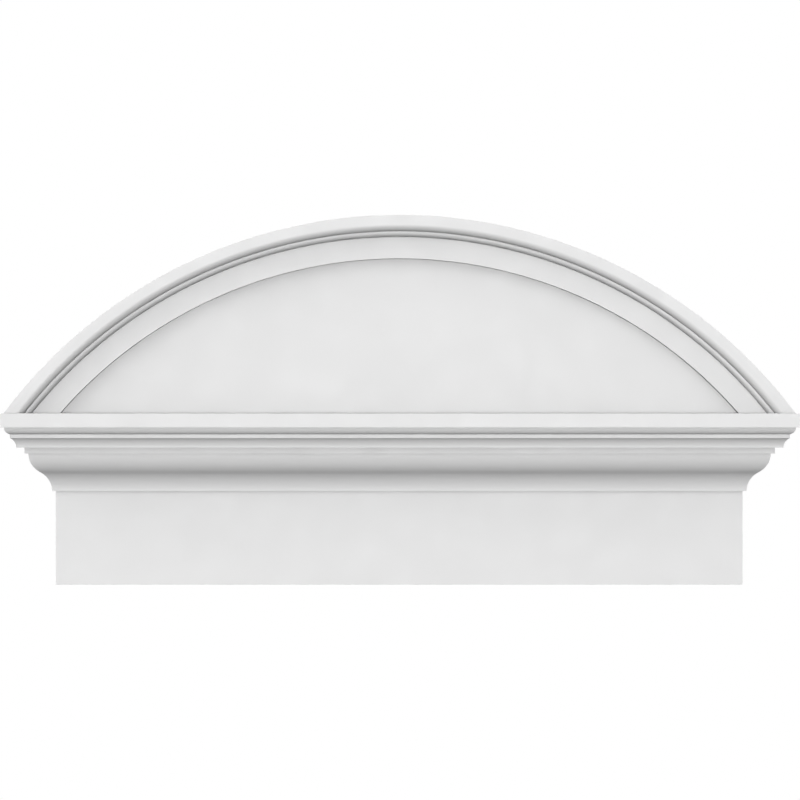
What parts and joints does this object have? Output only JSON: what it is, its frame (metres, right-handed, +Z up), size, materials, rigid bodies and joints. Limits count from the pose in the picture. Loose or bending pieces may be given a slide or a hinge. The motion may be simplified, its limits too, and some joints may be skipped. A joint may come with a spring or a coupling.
{
  "type": "segmental pediment",
  "caption": "Segmental pediment: a moulded arch with a plain panel over a crown moulding, square-edged cap and flat frieze board, fixed to a wall above a door or window.",
  "frame": {"origin": "centre of the frieze board's back face, in the wall plane", "axes": "+X to the right as seen from the front, +Y into the wall, +Z up; the front faces -Y"},
  "size_m": [0.872, 0.0709, 0.4088],
  "materials": {
    "white_board": "smooth matte white cellular plastic sheet with sawn and sanded edges",
    "white_moulding": "smooth matte white cellular plastic moulding"
  },
  "bodies": {
    "root": {"frieze_board": "white_board", "cornice_cap": "white_board", "tympanum_panel": "white_board", "arch_band": "white_board", "crown_front": "white_moulding", "crown_return_left": "white_moulding", "crown_return_right": "white_moulding", "arch_moulding": "white_moulding"}
  },
  "joints": []
}
